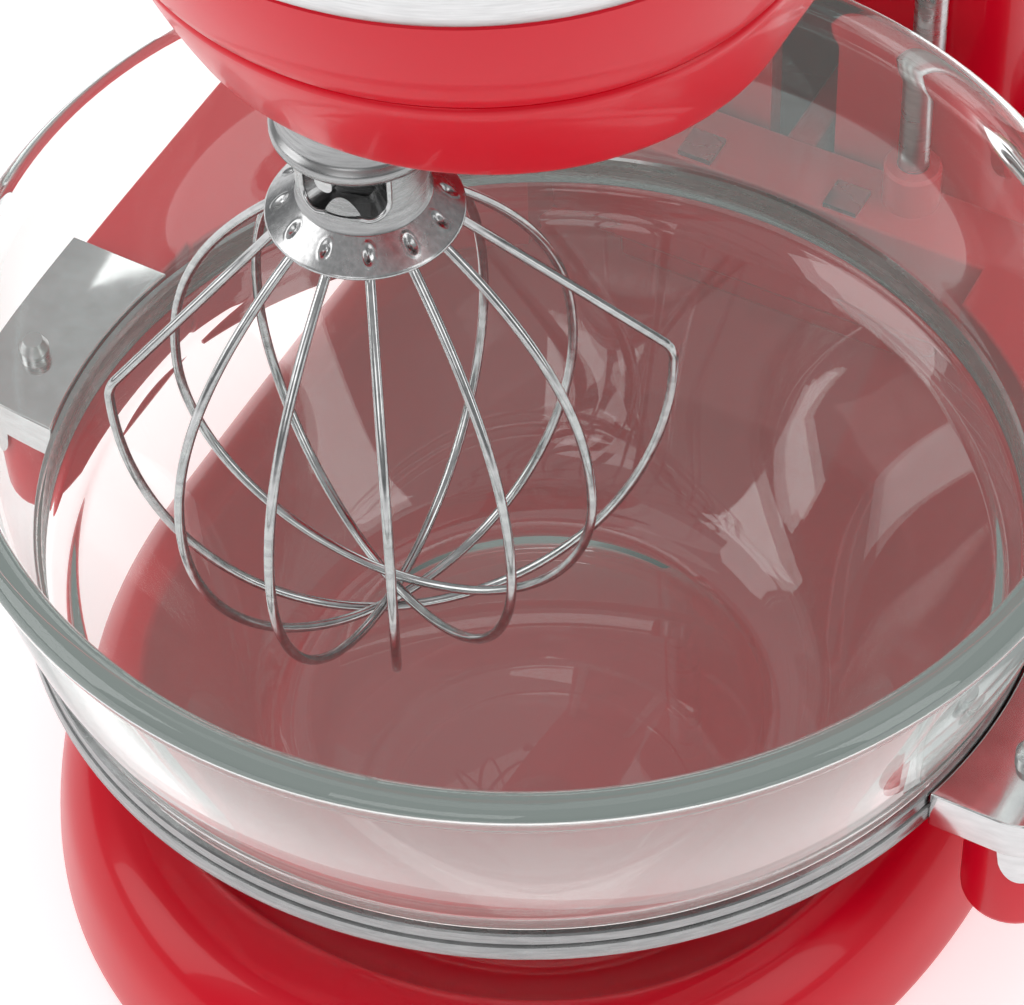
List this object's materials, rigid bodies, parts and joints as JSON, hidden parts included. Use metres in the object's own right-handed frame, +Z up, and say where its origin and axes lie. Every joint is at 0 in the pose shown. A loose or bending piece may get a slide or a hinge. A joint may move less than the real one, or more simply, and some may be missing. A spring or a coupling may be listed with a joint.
{
  "type": "stand mixer",
  "caption": "Bowl-lift stand mixer with enamelled head, column and base, a glass bowl held by a lifting yoke, a planetary drive and a six-loop wire whip.",
  "frame": {"origin": "on the table, under the middle of the mixer's bounding box", "axes": "+X is the mixer's right side, -Y is the front where the nose points, +Z is up"},
  "size_m": [0.287, 0.3765, 0.419],
  "materials": {
    "red_enamel": "gloss",
    "rubber": "matte",
    "satin_steel": "satin",
    "plain_steel": "machined",
    "cast_metal": "cast",
    "bronze": "machined",
    "black_plastic": "gloss",
    "board": "satin",
    "whip_steel": "polished",
    "bright_steel": "polished",
    "clear_glass": "clear"
  },
  "bodies": {
    "stand": {"base": "red_enamel", "rubber_feet": "rubber", "column": "red_enamel", "column_bolts": "plain_steel", "head_lower_housing": "red_enamel", "head_upper_housing": "red_enamel", "housing_screws": "plain_steel", "trim_band": "satin_steel", "rear_end_cover": "red_enamel", "cord_gland": "rubber", "attachment_hub": "satin_steel", "ring_gear": "plain_steel", "gear_case": "cast_metal", "ball_bearings": "plain_steel", "hub_bushes": "bronze", "motor_stator": "plain_steel", "motor_end_brackets": "cast_metal", "carbon_brushes": "black_plastic", "brush_caps": "black_plastic", "control_board": "board", "guide_rods": "plain_steel", "lever_bush": "bronze"},
    "planetary": {"planetary_housing": "cast_metal", "drive_shaft": "plain_steel", "bevel_gear": "plain_steel", "beater_bush": "bronze"},
    "beater": {"beater_shaft": "plain_steel", "planet_pinion": "plain_steel", "cross_pin": "plain_steel", "beater_spring": "plain_steel"},
    "washer": {"spring_washer": "plain_steel"},
    "whip": {"whip_collar": "whip_steel", "whip_hub": "whip_steel", "whip_wire_1": "whip_steel", "whip_wire_2": "whip_steel", "whip_wire_3": "whip_steel", "whip_wire_4": "whip_steel", "whip_wire_5": "whip_steel", "whip_wire_6": "whip_steel"},
    "hub_drive": {"hub_drive_shaft": "plain_steel", "hub_bevel_pinion": "plain_steel", "hub_drive_gear": "plain_steel"},
    "armature": {"motor_armature": "plain_steel", "motor_pinion": "plain_steel", "cooling_fan": "black_plastic"},
    "yoke": {"bowl_yoke": "red_enamel", "locating_pins": "plain_steel", "bowl_clip": "plain_steel"},
    "lift_lever": {"lift_crank": "plain_steel", "lift_handle": "plain_steel", "lift_knob": "black_plastic"},
    "bowl": {"glass_bowl": "clear_glass", "carrier_ring": "bright_steel", "bowl_brackets": "bright_steel", "latch_tab": "bright_steel"},
    "hub_cap": {"hub_cap": "satin_steel"},
    "thumbscrew": {"hub_thumbscrew": "black_plastic"},
    "speed_lever": {"speed_lever": "plain_steel", "speed_knob": "black_plastic"}
  },
  "joints": [
    {"name": "planetary_spin", "type": "hinge", "parent": "stand", "child": "planetary", "pos_m": [0, -0.06, 0.268], "axis": [0, 0, 1], "continuous": true},
    {"name": "beater_spin", "type": "hinge", "parent": "planetary", "child": "beater", "pos_m": [-0.01965, -0.09194, 0.25], "axis": [0, 0, 1], "continuous": true},
    {"name": "whip_push", "type": "slide", "parent": "beater", "child": "washer", "axis": [0, 0, 1], "range_m": [0, 0.004], "stiffness_N_per_m": 1500, "springref_m": -0.002, "deforming": ["beater_spring"]},
    {"name": "whip_twist", "type": "hinge", "parent": "washer", "child": "whip", "pos_m": [-0.01965, -0.09194, 0.2245], "axis": [0, 0, -1], "range_deg": [0, 36]},
    {"name": "hub_drive_spin", "type": "hinge", "parent": "stand", "child": "hub_drive", "pos_m": [0, -0.035, 0.362], "axis": [0, 1, 0], "continuous": true},
    {"name": "motor_spin", "type": "hinge", "parent": "stand", "child": "armature", "pos_m": [0, 0.046, 0.3242], "axis": [0, 1, 0], "continuous": true},
    {"name": "bowl_lift", "type": "slide", "parent": "stand", "child": "yoke", "axis": [0, 0, 1], "range_m": [0, 0.04]},
    {"name": "lift_lever_turn", "type": "hinge", "parent": "stand", "child": "lift_lever", "pos_m": [0.052, 0.105, 0.095], "axis": [1, 0, 0], "range_deg": [0, 90.5]},
    {"name": "bowl_off", "type": "slide", "parent": "yoke", "child": "bowl", "axis": [0, 0, 1], "range_m": [0, 0.012]},
    {"name": "hub_cap_hinge", "type": "hinge", "parent": "stand", "child": "hub_cap", "pos_m": [0, -0.1644, 0.3915], "axis": [-1, 0, 0], "range_deg": [0, 100]},
    {"name": "thumbscrew_turn", "type": "hinge", "parent": "stand", "child": "thumbscrew", "pos_m": [0.04, -0.15, 0.362], "axis": [1, 0, 0], "range_deg": [0, 360]},
    {"name": "speed_lever_turn", "type": "hinge", "parent": "stand", "child": "speed_lever", "pos_m": [-0.05, 0.036, 0.332], "axis": [0, 0, 1], "range_deg": [0, 40]}
  ],
  "couplings": [
    {"joint": "beater_spin", "follows": "planetary_spin", "ratio": -3.7778},
    {"joint": "hub_drive_spin", "follows": "planetary_spin", "ratio": 2.8571},
    {"joint": "motor_spin", "follows": "planetary_spin", "ratio": -10},
    {"joint": "lift_lever_turn", "follows": "bowl_lift", "rad_per_m": 39.27}
  ]
}
